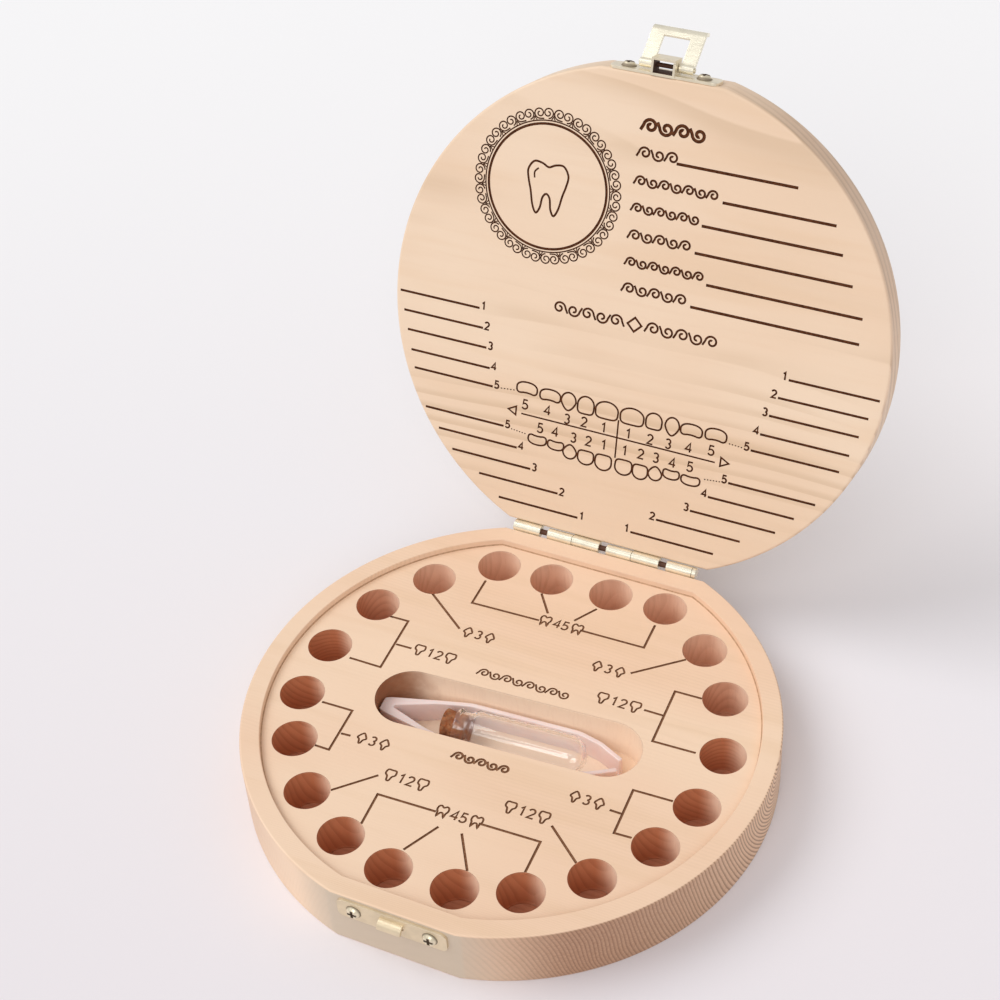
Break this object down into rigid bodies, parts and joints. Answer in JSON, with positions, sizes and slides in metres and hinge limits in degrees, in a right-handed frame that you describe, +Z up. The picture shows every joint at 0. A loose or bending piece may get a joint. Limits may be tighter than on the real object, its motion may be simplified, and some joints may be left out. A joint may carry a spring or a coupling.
{
  "type": "tooth box",
  "caption": "Round two-part wooden keepsake box for milk teeth, with ringed holes, hinged lid, hasp latch, corked bottle and tweezers.",
  "frame": {"origin": "centre of the base's round underside, on the table", "axes": "+Z up; -Y is the front with the latch; +Y is the hinge side; +X is to the right seen from the front. Lid open, as in the picture."},
  "size_m": [0.12, 0.1656, 0.1288],
  "materials": {
    "pine": "pale pine, sanded and left bare, with burnt line work",
    "brass_plate": "pale gold plating, polished",
    "clear_glass": "clear, glossy",
    "cork": "bare cork with dark pores",
    "white_plastic": "milky white moulded plastic, satin"
  },
  "bodies": {
    "base": {"base_block": "pine", "hinge_base_leaf": "brass_plate", "hinge_pin": "brass_plate", "hinge_base_screws": "brass_plate", "catch_plate": "brass_plate", "catch_screws": "brass_plate"},
    "lid": {"lid_panel": "pine", "hinge_lid_leaf": "brass_plate", "hinge_lid_screws": "brass_plate", "latch_plate": "brass_plate", "latch_pin": "brass_plate", "latch_screws": "brass_plate"},
    "hasp": {"latch_hasp": "brass_plate"},
    "bottle": {"vial_glass": "clear_glass"},
    "cork": {"vial_cork": "cork"},
    "tweezers": {"tweezers": "white_plastic"}
  },
  "joints": [
    {"name": "lid_hinge", "type": "hinge", "parent": "base", "child": "lid", "pos_m": [0, 0.0558, 0.0151], "axis": [-1, 0, 0], "range_deg": [-108.5, 0]},
    {"name": "hasp_pivot", "type": "hinge", "parent": "lid", "child": "hasp", "pos_m": [0, 0.09536, 0.12419], "axis": [-1, 0, 0], "range_deg": [-132, 0]},
    {"name": "bottle_lift", "type": "slide", "parent": "base", "child": "bottle", "axis": [0, 0, 1], "range_m": [0, 0.03]},
    {"name": "cork_pull", "type": "slide", "parent": "bottle", "child": "cork", "axis": [-0.9984, -0.0558, 0], "range_m": [0, 0.003]},
    {"name": "tweezers_lift", "type": "slide", "parent": "base", "child": "tweezers", "axis": [0, 0, 1], "range_m": [0, 0.03]}
  ]
}
